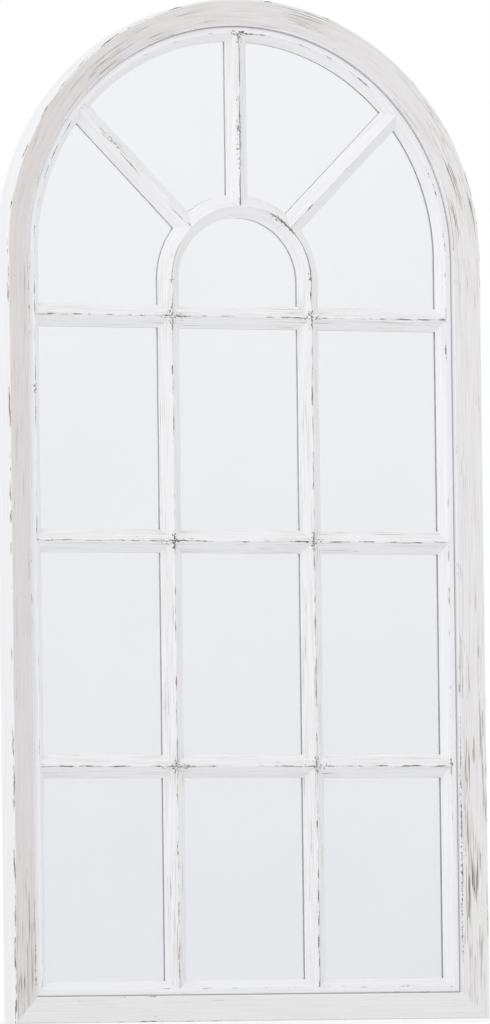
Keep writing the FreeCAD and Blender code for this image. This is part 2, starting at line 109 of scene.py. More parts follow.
def reckon(tree: Tree, operation: str, *values: float | Socket) -> Socket:
    """Do one sum on numbers or sockets, by Blender's name of the sum."""
    return add(tree, "Math", dict(enumerate(values)), operation=operation)


def span(tree: Tree, value: Socket, start: float | Socket, end: float | Socket,
         low: float = 0.0, high: float = 1.0) -> Socket:
    """Map a value from start..end to low..high, held at both ends."""
    return add(tree, "MapRange", {"Value": value, "From Min": start, "From Max": end,
                                  "To Min": low, "To Max": high})


def mix(tree: Tree, share: Socket, first: Colour | Socket, second: Colour | Socket) -> Socket:
    """Go from the first colour to the second by a share of 0 to 1."""
    return add(tree, "Mix", {"Factor": share, "A": first, "B": second}, "Result",
               data_type="RGBA")


def speckle(tree: Tree, scale: float, detail: float = 2.0, roughness: float = 0.5) -> Socket:
    """Noise that is fixed to the object, at a scale to the metre."""
    place = add(tree, "TexCoord", out="Object")
    return add(tree, "TexNoise", {"Vector": place, "Scale": scale, "Detail": detail,
                                  "Roughness": roughness})


def bump(tree: Tree, height: Socket, strength: float, depth: float) -> Socket:
    """Give the normal of a relief that is so many mm deep."""
    return add(tree, "Bump", {"Height": height, "Strength": strength, "Distance": depth * MM},
               "Normal")


def new_material(name: str) -> tuple[bpy.types.Material, Tree]:
    """Make an empty node material.

    Args:
        name: name of the finish.

    Returns:
        The material and its cleared node tree.
    """
    material = bpy.data.materials.new(name)
    material.use_nodes = True
    material.node_tree.nodes.clear()
    return material, material.node_tree


def surface(tree: Tree, inputs: dict) -> None:
    """End a material in a Principled shader with these inputs."""
    add(tree, "OutputMaterial", {"Surface": add(tree, "BsdfPrincipled", inputs)})


def dress(thing: bpy.types.Object, material: bpy.types.Material) -> None:
    """Put one material on a whole object."""
    thing.data.materials.clear()
    thing.data.materials.append(material)


# ---- sizes shared with the construction ----
@dataclass(frozen=True)
class Layout:
    """Sizes of the window that the finishes follow, in mm."""

    half_width: float = 325.0
    springing: float = 975.0        # height of the centre of the head
    small_arch: float = 941.0       # height of the centre of the small arch
    upright: float = 96.0           # ridge of each upright bar from the middle
    glass_front: float = 3.056      # behind mid-depth
    rows: tuple[float, ...] = (323.25, 609.25, 895.25)
    sight_line: float = 52.0


LAYOUT = Layout()


class Side(Enum):
    """The two sides of the mirror."""

    LEFT = -1
    RIGHT = 1

    @property
    def word(self) -> str:
        """The side's name as the nodes spell it."""
        return self.name.lower()


# ---- the lie of a moulding ----
@dataclass(frozen=True)
class Run:
    """How one length of moulding lies, so that its grain and wear follow it.

    Straight runs measure across from the origin. Round ones measure across inwards from the radius.
    """

    origin: Point
    across: Point = (1.0, 0.0, 0.0)
    along: Point = (0.0, 0.0, 1.0)
    radius: float = 0.0

    def measures(self, tree: Tree) -> tuple[Socket, Socket, Socket]:
        """Give a point's place on the moulding.

        Args:
            tree: node tree of the material.

        Returns:
            Millimetres across the moulding, along it, and behind the mid-depth of the mirror.
        """
        place = add(tree, "TexCoord", out="Object")
        place = add(tree, "VectorMath", {0: place, "Scale": 1 / MM}, operation="SCALE")
        depth = add(tree, "SeparateXYZ", {0: place}, out="Y")
        local = add(tree, "VectorMath", {0: place, 1: self.origin}, operation="SUBTRACT")
        if not self.radius:
            across, along = [add(tree, "VectorMath", {0: local, 1: way}, "Value",
                                 operation="DOT_PRODUCT") for way in (self.across, self.along)]
            return across, along, depth
        flat = add(tree, "VectorMath", {0: local, 1: (1, 0, 1)}, operation="MULTIPLY")
        reach = add(tree, "VectorMath", {0: flat}, "Value", operation="LENGTH")
        parts = add(tree, "SeparateXYZ", {0: flat}).node.outputs
        turn = reckon(tree, "ARCTAN2", parts["Z"], parts["X"])
        return (reckon(tree, "SUBTRACT", self.radius, reach),
                reckon(tree, "MULTIPLY", turn, self.radius), depth)


RAIL = Run((0, 0, 0), (0, 0, 1), (1, 0, 0))
HEAD = Run((0, 0, LAYOUT.springing), radius=LAYOUT.half_width)
STILES = {side: Run((side.value * LAYOUT.half_width, 0, 0), (-side.value, 0, 0)) for side in Side}


@dataclass(frozen=True)
class WornLine:
    """A ridge, arris or groove where the paint is rubbed to the wood in long broken dashes."""

    place: float                    # across the moulding, mm
    width: float = 0.7              # half width of the widest dash, mm
    bare: float = 0.5               # share of the length that is bare where wear is full
    dash: float = 26.0              # usual length of a dash, mm
    depth: float | None = None      # behind mid-depth, mm, where a wall stands beside the line
    chips: float = 7.0              # how far from the line chips reach, mm
    mitre: bool = False             # runs across the corner at 45 degrees instead of along the run


@dataclass(frozen=True)
class Sanding:
    """Strip of a sloping face where the coat was sanded thin, with painted shade on it that is
    heavier towards the left of the mirror.
    """

    start: float = 1.0              # across the moulding, mm
    stop: float = 32.6
    left: float = 1.0               # how much sanded coat and painted shade at the left of the mirror, 0 to 1
    right: float = 0.5
    fade: float = 1.5               # mm

    def face(self, tree: Tree, across: Socket) -> Socket:
        """Give a mask that is 1 on the strip."""
        rise = span(tree, across, self.start, self.start + self.fade)
        fall = span(tree, across, self.stop, self.stop - self.fade)
        return reckon(tree, "MULTIPLY", rise, fall)

    def share(self, tree: Tree) -> Socket:
        """Give how much sanded coat and painted shade there is here, from the left of the mirror to
        its right.
        """
        side = add(tree, "SeparateXYZ", {0: add(tree, "TexCoord", out="Object")})
        reach = LAYOUT.half_width * MM
        return span(tree, side, -reach, reach, self.left, self.right)


@dataclass(frozen=True)
class Wear:
    """Where along a run, in mm, the paint is rubbed, from 0 (whole) to 1 (as rubbed as it gets)."""

    stretches: tuple[tuple[float, float], ...]

    def bent(self, radius: float) -> "Wear":
        """Give the wear along a round run, from stretches that are in degrees."""
        arc = math.radians(1) * radius
        return Wear(tuple((angle * arc, level) for angle, level in self.stretches))

    def level(self, tree: Tree, along: Socket) -> Socket:
        """Give the wear at a place along the run.

        Args:
            tree: node tree of the material.
            along: millimetres along the run.

        Returns:
            Wear from 0 to 1.
        """
        low = self.stretches[0][0]
        high = self.stretches[-1][0]
        level = add(tree, "ValToRGB", {"Fac": span(tree, along, low, high)})
        ramp = level.node.color_ramp
        for index, (place, amount) in enumerate(self.stretches):
            spot = (place - low) / (high - low)
            stop = ramp.elements[index] if index < 2 else ramp.elements.new(spot)
            stop.position = spot
            stop.color = (amount, amount, amount, 1)
        return level


# ---- finishes ----
class Layer(IntEnum):
    """Shifts of the seed, so that the layers of one finish don't repeat each other."""

    WANDER = 3
    PATCH = 5
    BREAK = 11
    EDGE = 19
    CHIP = 23
    BRUSH = 31
    DEEP = 37
    FINE = 43
    CLOUD = 53


@dataclass(frozen=True)
class RubbedChalkPaint:
    """White chalk paint brushed on fir and rubbed through by hand.

    The paint is dead matt. Fine brush marks and grain run along each piece, the ridges and arrises
    are bare in broken dark dashes, and patches of the faces are rubbed thin, so that the grain
    shows grey. The sloping faces of the frame also carry painted shade, heavier towards the left of
    the mirror. Undersides, which no hand has rubbed, are whole, and painted whiter than the rest
    as painted light for the light that reaches them through the glass.
    """

    paint: str = "#ECECEE"
    thick_paint: str = "#F4F4F6"
    underside_paint_and_light: str = "#FAFAFA"    # undersides: whole paint, whiter than any other coat as painted light for the light that reaches them through the glass
    face_paint_and_shade: str = "#DEDBDA"     # a thinner coat on a face that was sanded all over, and painted shade on faces that turn from the light
    thin_paint: str = "#CBC7C2"
    bare_wood: str = "#8C857B"
    dark_grain: str = "#4C4740"
    streak: tuple[float, float] = (0.95, 75.0)      # wide and long: grain lines, coarse ones
    fine: tuple[float, float] = (1.0, 75.0)         # the finer ones
    brush: tuple[float, float] = (1.5, 110.0)       # bristle marks, as coarse as a render shows
    patch: tuple[float, float] = (9.0, 80.0)        # patches rubbed thin
    cloud: tuple[float, float] = (14.0, 60.0)       # patches of a sanded coat
    ragged: tuple[float, float] = (1.1, 2.0)        # teeth of a dash's edge
    fleck: tuple[float, float] = (1.9, 3.04)        # chips of paint beside the joints
    teeth: float = 1.9              # how far the teeth of a dash's edge reach, mm
    slim: float = 0.45              # how much narrower a dash is before its teeth, mm
    wander: tuple[float, float] = (4.4, 36.0)       # a dash strays so far, in such a length
    whole_break: float = 0.68       # noise that starts a dash where nothing is worn
    worn_break: float = 0.34        # how much full wear lowers it
    whole_streak: float = 0.79      # the same for a grain line
    worn_streak: float = 0.31
    whole_chip: float = 0.98        # the same for a chip
    worn_chip: float = 0.46
    wall_grain: float = 0.25        # share of the soft grain left on walls that weren't sanded
    roughness: float = 0.72
    bare_roughness: float = 0.6
    relief: float = 0.16            # depth of the rubbed places, mm

    def noise(self, tree: Tree, parts: tuple, size: tuple[float, float], seed: float,
              detail: float = 2.0) -> Socket:
        """Noise that is stretched along the grain.

        Args:
            tree: node tree of the material.
            parts: across, along and depth sockets, in mm.
            size: how wide and how long the noise is, in mm.
            seed: shift that makes it differ from its neighbours.
            detail: finer layers of noise.

        Returns:
            Noise value from 0 to 1.
        """
        place = add(tree, "CombineXYZ", dict(enumerate(parts)))
        scale = (1 / size[0], 1 / size[1], 1 / size[0])
        place = add(tree, "VectorMath", {0: place, 1: scale, 2: (seed, seed * 1.7, seed * 0.6)},
                    operation="MULTIPLY_ADD")
        return add(tree, "TexNoise", {"Vector": place, "Scale": 1.0, "Detail": detail,
                                      "Roughness": 0.55})

    def dashes(self, tree: Tree, line: WornLine, parts: tuple, level: Socket,
               seed: float) -> Socket:
        """Broken dashes along one ridge.

        Args:
            tree: node tree of the material.
            line: the ridge.
            parts: across, along and depth sockets, in mm.
            level: wear along the run.
            seed: shift of its noise.

        Returns:
            Mask that is 1 on bare wood.
        """
        across, along, depth = parts
        if line.mitre:
            skew = reckon(tree, "SUBTRACT", along, across)
            across = reckon(tree, "MULTIPLY", skew, math.sqrt(0.5))
        rest = (0.0, along, 0.0)
        stray, length = self.wander
        wander = self.noise(tree, rest, (1, length), seed + Layer.WANDER, 4.0)
        shift = reckon(tree, "MULTIPLY_ADD", wander, stray, -stray / 2 - line.place)
        distance = reckon(tree, "ABSOLUTE", reckon(tree, "ADD", across, shift))
        if line.depth is not None:
            behind = reckon(tree, "SUBTRACT", depth, line.depth)
            behind = reckon(tree, "MAXIMUM", behind, 0.0)
            distance = reckon(tree, "MAXIMUM", distance, behind)
        breaks = self.noise(tree, rest, (1, line.dash), seed + Layer.BREAK, 5.0)
        start = reckon(tree, "MULTIPLY_ADD", level, -self.worn_break * line.bare,
                       self.whole_break)
        end = reckon(tree, "ADD", start, 0.2)
        half = span(tree, breaks, start, end, -self.teeth / 2, line.width - self.slim)
        ragged = self.noise(tree, parts, self.ragged, seed + Layer.EDGE, 3.0)
        half = reckon(tree, "MULTIPLY_ADD", ragged, self.teeth, half)
        mask = span(tree, reckon(tree, "SUBTRACT", half, distance), 0.1, 0.75)
        deep = self.noise(tree, rest, (1, line.dash * 0.7), seed + Layer.DEEP)
        return reckon(tree, "MULTIPLY", mask, span(tree, deep, 0.35, 0.58, 0.42))

    def grain(self, tree: Tree, parts: tuple, level: Socket, streaks: float,
              seed: float) -> tuple[Socket, Socket]:
        """Grain that shows where a face is rubbed thin.

        Args:
            tree: node tree of the material.
            parts: across, along and depth sockets, in mm.
            level: wear along the run.
            streaks: how strongly it shows, 0 to 1.
            seed: shift of its noise.

        Returns:
            Masks of the crisp bare streaks and of the soft grey ones.
        """
        crisp = self.noise(tree, parts, self.streak, seed, 3.5)
        patch = self.noise(tree, parts, self.patch, seed + Layer.PATCH)
        rubbed = reckon(tree, "MULTIPLY", span(tree, patch, 0.33, 0.58), level)
        start = reckon(tree, "MULTIPLY_ADD", rubbed, -self.worn_streak * streaks,
                       self.whole_streak)
        bare = span(tree, crisp, start, reckon(tree, "ADD", start, 0.07), high=0.8)
        fine = self.noise(tree, parts, self.fine, seed + Layer.FINE, 3.0)
        soft = reckon(tree, "MULTIPLY_ADD", rubbed, 0.7 * streaks, 0.22 * streaks)
        return bare, reckon(tree, "MULTIPLY", span(tree, fine, 0.46, 0.66), soft)

    def chips(self, tree: Tree, line: WornLine, parts: tuple, level: Socket,
              seed: float) -> Socket:
        """Small chips beside a ridge, where wear is full.

        Args:
            tree: node tree of the material.
            line: the ridge.
            parts: across, along and depth sockets, in mm.
            level: wear along the run.
            seed: shift of its noise.

        Returns:
            Mask that is 1 on a chip.
        """
        fleck = self.noise(tree, parts, self.fleck, seed + Layer.CHIP, 1.0)
        near = reckon(tree, "ABSOLUTE", reckon(tree, "SUBTRACT", parts[0], line.place))
        near = span(tree, near, line.chips, 0.35 * line.chips)
        chance = reckon(tree, "MULTIPLY", span(tree, level, 0.88, 1.0), near)
        start = reckon(tree, "MULTIPLY_ADD", chance, -self.worn_chip, self.whole_chip)
        return span(tree, fleck, start, reckon(tree, "ADD", start, 0.08))

    def material(self, name: str, run: Run, wear: Wear, lines: tuple[WornLine, ...],
                 streaks: float = 0.5, seed: float = 0.0, sanding: Sanding | None = None,
                 underside: float | None = None) -> bpy.types.Material:
        """Build the finish for one run of moulding.

        Args:
            name: name of the material.
            run: how the moulding lies.
            wear: where along it the paint is rubbed.
            lines: its ridges, arrises and grooves; chips gather at the last.
            streaks: how strongly the grain shows through on its faces, 0 to 1.
            seed: shift of its noise, so that no two runs are alike.
            sanding: strip whose coat was sanded thin and painted darker, as shade, towards the left
                of the mirror.
            underside: how far behind mid-depth a whole, unrubbed underside lies, mm; it is painted
                whiter as painted light.

        Returns:
            The material.
        """
        material, tree = new_material(name)
        parts = run.measures(tree)
        level = wear.level(tree, parts[1])
        bare, soft = self.grain(tree, parts, level, streaks, seed)
        brush = self.noise(tree, parts, self.brush, seed + Layer.BRUSH, 4.0)
        coats = [(span(tree, brush, 0.35, 0.65), linear(self.paint))]
        # painted shade: the darker face coat, laid in sanded patches, is heaviest towards the left
        # of the mirror, where the faces turn from the light
        if sanding:
            face = sanding.face(tree, parts[0])
            bare = reckon(tree, "MULTIPLY", bare, face)
            soft = reckon(tree, "MULTIPLY", soft, span(tree, face, 0.0, 1.0, self.wall_grain))
            cloud = self.noise(tree, parts, self.cloud, seed + Layer.CLOUD, 3.0)
            cloud = reckon(tree, "MULTIPLY", span(tree, cloud, 0.35, 0.65, 0.8),
                           sanding.share(tree))
            coats.append((reckon(tree, "MULTIPLY", face, cloud), linear(self.face_paint_and_shade)))
        for index, line in enumerate(lines):
            dash = self.dashes(tree, line, parts, level, seed + 7.3 * index)
            bare = reckon(tree, "MAXIMUM", bare, dash)
        bare = reckon(tree, "MAXIMUM", bare, self.chips(tree, lines[-1], parts, level, seed))
        core = span(tree, bare, 0.3, 0.9)
        wood = mix(tree, brush, linear(self.dark_grain), linear(self.bare_wood))
        coats += [(soft, linear(self.thin_paint)),
                  (span(tree, bare, 0.0, 0.5), linear(self.thin_paint)), (core, wood)]
        # undersides: whole paint, and whiter as painted light for the light that reaches them
        # through the glass
        if underside is not None:
            lit_underside = span(tree, parts[2], underside - 0.3, underside - 0.1)
            coats.append((lit_underside, linear(self.underside_paint_and_light)))
        colour = linear(self.thick_paint)
        for amount, coat in coats:
            colour = mix(tree, amount, colour, coat)
        height = reckon(tree, "MULTIPLY_ADD", core, -1.0, brush)
        rough = span(tree, core, 0.0, 1.0, self.roughness, self.bare_roughness)
        surface(tree, {"Base Color": colour, "Roughness": rough,
                       "Normal": bump(tree, height, 0.5, self.relief),
                       "Specular IOR Level": 0.35})
        return material


@dataclass(frozen=True)
class FloatGlass:
    """Clear soda-lime float glass, fire-polished: flat, clean and very slightly green."""

    tint: str = "#FDFDFD"
    cloud_tint: str = "#FAFBFB"
    ior: float = 1.52

    def material(self) -> bpy.types.Material:
        """Build the glass."""
        material, tree = new_material("clear_float_glass")
        colour = mix(tree, speckle(tree, 6.0, 1.0), linear(self.tint), linear(self.cloud_tint))
        surface(tree, {"Base Color": colour, "Roughness": 0.0, "IOR": self.ior,
                       "Transmission Weight": 1.0})
        return material


@dataclass(frozen=True)
class Silvering:
    """Chemically deposited silver behind the glass, a flat mirror, with painted shade that makes it
    a little darker and cooler towards the foot, for the darker studio it reflects there.
    """

    film: str = "#F8F8F9"
    # painted shade: the film's colour at the foot, darker and cooler, for the darker studio that the
    # mirror reflects low down
    foot: str = "#EBECEF"
    painted_shade_full_below: float = 60.0
    painted_shade_gone_above: float = 1200.0

    def material(self) -> bpy.types.Material:
        """Build the film."""
        material, tree = new_material("silvered_mirror_film_with_painted_shade")
        place = add(tree, "TexCoord", out="Object")
        height = add(tree, "SeparateXYZ", {0: place}, out="Z")
        # painted shade: from the darker foot colour up to the film's own colour
        share = span(tree, height, self.painted_shade_full_below * MM, self.painted_shade_gone_above * MM)
        colour = mix(tree, share, linear(self.foot), linear(self.film))
        surface(tree, {"Base Color": colour, "Metallic": 1.0, "Roughness": 0.0})
        return material


@dataclass(frozen=True)
class Fibreboard:
    """Bare medium-density fibreboard: a flat, pressed face with short pale and dark fibres."""

    face: str = "#B08A62"
    pale: str = "#C4A27C"
    dark: str = "#8F6C48"
    fibre: float = 1.1      # mm, drawn coarser than real fibres so that they show

    def material(self) -> bpy.types.Material:
        """Build the board."""
        material, tree = new_material("bare_fibreboard")
        fibres = speckle(tree, 1 / (self.fibre * MM), 3.0, 0.7)
        share = span(tree, fibres, 0.3, 0.7)
        colour = mix(tree, share, linear(self.dark), linear(self.pale))
        colour = mix(tree, speckle(tree, 14.0), colour, linear(self.face))
        surface(tree, {"Base Color": colour, "Roughness": 0.8,
                       "Normal": bump(tree, fibres, 0.25, 0.1), "Specular IOR Level": 0.3})
        return material


@dataclass(frozen=True)
class ZincPlatedSteel:
    """Bright zinc plate on pressed and drawn steel: cool grey, faintly mottled, half polished."""

    bright: str = "#C9CCCF"
    dull: str = "#A3A7AB"
    spangle: float = 2.2    # mm
    scratches: Point = (9000.0, 9000.0, 400.0)      # to the metre, across, across and along

    def material(self) -> bpy.types.Material:
        """Build the plate."""
        material, tree = new_material("bright_zinc_plate")
        mottle = speckle(tree, 1 / (self.spangle * MM), 3.0)
        scratch = add(tree, "Mapping", {"Vector": add(tree, "TexCoord", out="Object"),
                                        "Scale": self.scratches})
        scratch = add(tree, "TexNoise", {"Vector": scratch, "Scale": 1.0, "Detail": 2.0})
        colour = mix(tree, mottle, linear(self.dull), linear(self.bright))
        rough = span(tree, mottle, 0.0, 1.0, 0.26, 0.42)
        surface(tree, {"Base Color": colour, "Metallic": 1.0, "Roughness": rough,
                       "Normal": bump(tree, scratch, 0.12, 0.05)})
        return material


@dataclass(frozen=True)
class PressedFelt:
    """Grey-brown pressed wool felt: a soft matt mat of short crossed hairs."""

    hair: str = "#6E6660"
    shade: str = "#4B4541"
    hair_size: float = 0.5   # mm

    def material(self) -> bpy.types.Material:
        """Build the felt."""
        material, tree = new_material("pressed_wool_felt")
        hairs = speckle(tree, 1 / (self.hair_size * MM), 5.0, 0.75)
        share = span(tree, hairs, 0.35, 0.65)
        colour = mix(tree, share, linear(self.shade), linear(self.hair))
        surface(tree, {"Base Color": colour, "Roughness": 0.95,
                       "Normal": bump(tree, hairs, 0.7, 0.3), "Sheen Weight": 0.4})
        return material


# ---- wooden frame ----
@dataclass
class OuterFrame:
    """Stiles, rail and the four segments of the head."""

    paint: RubbedChalkPaint
    lines: tuple[WornLine, ...] = (
        WornLine(0.6, 0.55, 1.0, 32, depth=-24.0),
        WornLine(7.0, 0.2, 0.5, 24),
        WornLine(27.0, 0.2, 0.5, 26),
        WornLine(31.8, 0.3, 0.85, 30, chips=1.9),
    )
    mitre: WornLine = WornLine(0.0, 0.3, 1.15, 8, mitre=True)
    # sanded coats with painted shade: heavy on the left stile and the left of the head, light on the
    # rail
    sanding: Sanding = Sanding()
    foot_sanding_and_shade: Sanding = Sanding(left=0.5, right=0.4)
    left: Wear = Wear(((0, 0.7), (50, 1.0), (150, 0.95), (230, 0.7), (330, 0.55), (470, 0.7),
                       (620, 0.5), (760, 0.75), (880, 0.7), (975, 0.7)))
    right: Wear = Wear(((0, 0.5), (35, 0.8), (90, 1.0), (330, 1.0), (420, 0.85), (540, 0.6),
                        (700, 0.45), (860, 0.5), (975, 0.7)))
    foot: Wear = Wear(((-325, 0.4), (-240, 0.35), (-170, 0.75), (-110, 0.8), (-40, 0.5), (80, 0.3),
                       (220, 0.3), (325, 0.5)))
    head_degrees: Wear = Wear(((0, 0.7), (12, 0.85), (28, 0.9), (44, 0.7), (58, 0.5), (74, 0.8),
                               (92, 0.55), (108, 0.7), (124, 0.9), (140, 0.8), (156, 0.6),
                               (180, 0.65)))

    def build(self, nodes: dict) -> None:
        """Dress the frame's pieces."""
        for side, wear, streaks in ((Side.LEFT, self.left, 0.85), (Side.RIGHT, self.right, 0.95)):
            finish = self.paint.material(f"painted_{side.word}_stile", STILES[side], wear,
                                         (self.mitre,) + self.lines, streaks, 2.0 + side.value,
                                         self.sanding)
            dress(nodes[f"{side.word}_stile"], finish)
            log.info("%s_stile dressed", side.word)
        finish = self.paint.material("painted_bottom_rail", RAIL, self.foot, self.lines, 0.6,
                                     9.0, self.foot_sanding_and_shade)
        dress(nodes["bottom_rail"], finish)
        finish = self.paint.material("painted_head", HEAD, self.head_degrees.bent(HEAD.radius),
                                     self.lines, 0.95, 14.0, self.sanding)
        for name in ("left_lower", "left_upper", "right_upper", "right_lower"):
            dress(nodes[f"head_{name}"], finish)
        log.info("bottom_rail and head dressed")


@dataclass
class Sash:
    """The moulding between the frame and the glass."""

    paint: RubbedChalkPaint
    lines: tuple[WornLine, ...] = (
        WornLine(35.4, 0.2, 0.6, 25),
        WornLine(42.0, 0.55, 0.85, 28),
    )
    left: Wear = Wear(((33, 0.5), (200, 0.3), (323, 0.5), (609, 0.6), (740, 0.6), (800, 1.0),
                       (850, 0.9), (975, 0.9)))
    right: Wear = Wear(((33, 0.95), (60, 0.5), (290, 0.6), (323, 1.0), (360, 0.7), (609, 0.7),
                        (700, 0.4), (895, 0.95), (975, 0.5)))
    foot: Wear = Wear(((-292, 0.3), (-200, 0.5), (-100, 0.6), (80, 0.5), (180, 0.8), (270, 0.95),
                       (292, 0.95)))
    head_degrees: Wear = Wear(((0, 0.5), (14, 0.9), (24, 0.8), (34, 0.4), (45, 0.95), (60, 0.8),
                               (80, 0.7), (86, 0.95), (88, 1.0), (92, 1.0), (94, 0.9),
                               (100, 0.6), (130, 0.4), (160, 0.9), (180, 0.8)))

    def build(self, nodes: dict) -> None:
        """Dress the sash mouldings."""
        for side, wear in ((Side.LEFT, self.left), (Side.RIGHT, self.right)):
            finish = self.paint.material(f"painted_sash_{side.word}", STILES[side], wear,
                                         self.lines, 0.25, 21.0 + side.value)
            dress(nodes[f"sash_{side.word}"], finish)
        dress(nodes["sash_bottom"], self.paint.material("painted_sash_bottom", RAIL, self.foot,
                                                        self.lines, 0.25, 25.0))
        finish = self.paint.material("painted_sash_arch", HEAD,
                                     self.head_degrees.bent(HEAD.radius), self.lines, 0.25, 28.0)
        for name in ("left_lower", "left_upper", "right_upper", "right_lower"):
            dress(nodes[f"sash_arch_{name}"], finish)
        log.info("sash dressed")


@dataclass
class GlazingBars:
    """Upright and cross bars, the small arch and the spokes."""

    paint: RubbedChalkPaint
    ridge: tuple[WornLine, ...] = (
        WornLine(-6.5, 0.1, 0.4, 14),
        WornLine(5.5, 0.2, 0.5, 18),
        WornLine(2.8, 0.15, 0.55, 12),
        WornLine(0.0, 0.7, 1.0, 22),
    )
    rubbed_through: tuple[WornLine, ...] = (
        WornLine(5.5, 0.2, 0.5, 18),
        WornLine(-3.0, 0.15, 0.55, 14),
        WornLine(0.0, 0.6, 1.25, 45),
    )
    split: tuple[WornLine, ...] = (
        WornLine(5.0, 0.25, 0.6, 22),
        WornLine(-2.2, 0.55, 0.9, 30),
        WornLine(0.4, 1.2, 1.0, 34),
    )

    def crossings(self, low: float, high: float, quiet: float) -> Wear:
        """Wear of an upright bar: full at each crossing and about half between.

        Args:
            low: foot of the bar, mm.
            high: top of the bar, mm.
            quiet: wear halfway between two crossings.

        Returns:
            Wear along the bar.
        """
        stretches = [(low, 0.95)]
        for row in LAYOUT.rows:
            stretches += [(row - 150, quiet + 0.12), (row - 40, quiet), (row - 9, 1.0),
                          (row + 9, 1.0), (row + 40, quiet)]
        stretches.append((high, 0.95))
        return Wear(tuple(stretches))

    def finish(self, name: str, run: Run, wear: Wear, lines: tuple[WornLine, ...],
               streaks: float, seed: float) -> bpy.types.Material:
        """Build the finish of a bar, whose underside lies on the glass and is painted whiter as
        painted light.
        """
        return self.paint.material(name, run, wear, lines, streaks, seed,
                                   underside=LAYOUT.glass_front)

    def build(self, nodes: dict) -> None:
        """Dress every bar."""
        for side, quiet in ((Side.LEFT, 0.7), (Side.RIGHT, 0.8)):
            run = Run((side.value * LAYOUT.upright, 0, 0), (1, 0, 0))
            wear = self.crossings(LAYOUT.sight_line - 10, LAYOUT.small_arch, quiet)
            dress(nodes[f"upright_bar_{side.word}"], self.finish(
                f"painted_upright_bar_{side.word}", run, wear, self.ridge, 0.65,
                41 + side.value))
        for index, (row, name) in enumerate(zip(LAYOUT.rows, ("low", "middle", "high"))):
            run = Run((0, 0, row), (0, 0, 1), (1, 0, 0))
            edge = LAYOUT.half_width - LAYOUT.sight_line + 8
            mid = LAYOUT.upright
            wear = Wear(((-edge, 0.95), (-edge + 45, 0.85), (-170, 0.75), (-mid - 40, 0.8),
                         (-mid - 22, 0.98), (-mid + 14, 1.0), (-50, 0.8), (0, 0.7), (50, 0.85),
                         (mid - 22, 0.97), (mid + 10, 1.0), (150, 0.8), (210, 0.85), (edge, 0.97)))
            finish = self.finish(f"painted_cross_bars_{name}", run, wear, self.ridge, 0.6,
                                 50.0 + 4 * index)
            for part in ("left", "middle", "right"):
                dress(nodes[f"cross_bar_{name}_{part}"], finish)
        degrees = Wear(((0, 1.0), (30, 0.9), (44, 1.0), (62, 1.0), (80, 0.6), (95, 0.3),
                        (125, 0.25), (138, 0.5), (150, 0.85), (172, 0.95), (180, 1.0)))
        run = Run((0, 0, LAYOUT.small_arch), radius=LAYOUT.upright)
        dress(nodes["inner_arch"], self.finish(
            "painted_small_arch", run, degrees.bent(LAYOUT.upright), self.rubbed_through, 0.5,
            63.0))
        spokes = (("left", 135, self.split,
                   ((96, 0.9), (112, 0.75), (150, 0.35), (185, 0.9), (255, 1.0), (280, 0.4))),
                  ("top", 90, self.rubbed_through,
                   ((96, 0.95), (200, 1.0), (290, 0.9), (309, 1.0), (330, 1.0))),
                  ("right", 45, self.ridge,
                   ((96, 0.9), (150, 0.7), (220, 0.6), (280, 0.3), (300, 0.3))))
        for name, degrees, lines, stretches in spokes:
            turn = math.radians(degrees)
            along = (math.cos(turn), 0, math.sin(turn))
            across = (math.sin(turn), 0, -math.cos(turn))
            run = Run((0, 0, LAYOUT.small_arch), across, along)
            dress(nodes[f"spoke_{name}"], self.finish(
                f"painted_spoke_{name}", run, Wear(stretches), lines, 0.5, 70.0 + degrees))
        log.info("glazing bars dressed")


# ---- modelling ----
def deselect() -> None:
    """Deselect everything, as before each new piece."""
    bpy.ops.object.select_all(action="DESELECT")


def finish_mesh(piece: bpy.types.Object, name: str, smooth_angle: float = 40.0) -> bpy.types.Object:
    """Apply modifiers and placing, smooth the rounds and name the piece.

    Args:
        piece: modelled object.
        name: its name.
        smooth_angle: faces that meet at less than this are smoothed, degrees.

    Returns:
        The piece, at the origin, unturned and unscaled.
    """
    deselect()
    bpy.context.view_layer.objects.active = piece
    piece.select_set(True)
    for modifier in list(piece.modifiers):
        bpy.ops.object.modifier_apply(modifier=modifier.name)
    bpy.ops.object.transform_apply(location=True, rotation=True, scale=True)
    bpy.ops.object.shade_smooth_by_angle(angle=math.radians(smooth_angle))
    piece.name = name
    return piece


def copied(piece: bpy.types.Object) -> bpy.types.Object:
    """Copy an object with its own mesh, outside any parent."""
    twin = piece.copy()
    twin.data = piece.data.copy()
    twin.parent = None
    bpy.context.scene.collection.objects.link(twin)
    for key in [key for key in twin.keys() if key.startswith("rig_")]:
        del twin[key]
    return twin


def joined(pieces: list[bpy.types.Object]) -> bpy.types.Object:
    """Join objects into one."""
    deselect()
    for piece in pieces:
        piece.select_set(True)
    bpy.context.view_layer.objects.active = pieces[0]
    bpy.ops.object.join()
    return bpy.context.object


def healed(node: bpy.types.Object, flat: float, quads: bool = False) -> bpy.types.Object:
    """Copy a node and merge the facets of its flat faces.

    Args:
        node: node whose shape is followed.
        flat: faces that meet at less than this are merged, degrees.
        quads: whether triangles are paired first.

    Returns:
        The copy, selected.
    """
    deselect()
    piece = copied(node)
    bpy.context.view_layer.objects.active = piece
    piece.select_set(True)
    bpy.ops.object.mode_set(mode="EDIT")
    bpy.ops.mesh.select_all(action="SELECT")
    bpy.ops.mesh.remove_doubles(threshold=WELD * MM)
    if quads:
        bpy.ops.mesh.tris_convert_to_quads()
    bpy.ops.mesh.dissolve_limited(angle_limit=math.radians(flat))
    bpy.ops.mesh.normals_make_consistent(inside=False)
    bpy.ops.object.mode_set(mode="OBJECT")
    return piece


